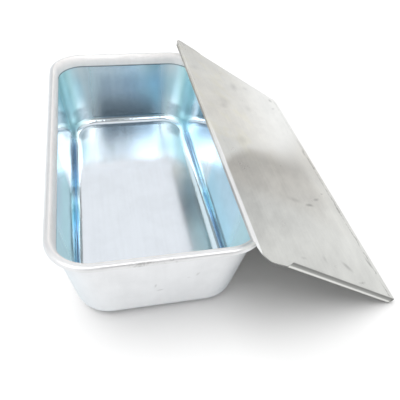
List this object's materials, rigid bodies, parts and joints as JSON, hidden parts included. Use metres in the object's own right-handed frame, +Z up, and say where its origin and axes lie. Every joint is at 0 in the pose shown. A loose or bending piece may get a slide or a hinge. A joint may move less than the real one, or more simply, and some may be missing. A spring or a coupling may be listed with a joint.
{
  "type": "pullman loaf pan",
  "caption": "Drawn sheet-metal loaf pan with sloping walls and a rolled rim, and its folded slide-on lid, taken off and leaning on one long side of the rim.",
  "frame": {"origin": "centre of the pan's flat underside", "axes": "+Z up, +Y along the pan, +X towards the long side that the lid leans on"},
  "size_m": [0.2092, 0.248, 0.0716],
  "materials": {
    "pan": "bright",
    "lid": "satin"
  },
  "bodies": {
    "pan": {"pan": "pan"},
    "lid": {"lid": "lid"}
  },
  "joints": [
    {"name": "lid_lift", "type": "slide", "parent": "pan", "child": "lid", "axis": [0, 0, 1], "range_m": [0, 0.08]}
  ]
}
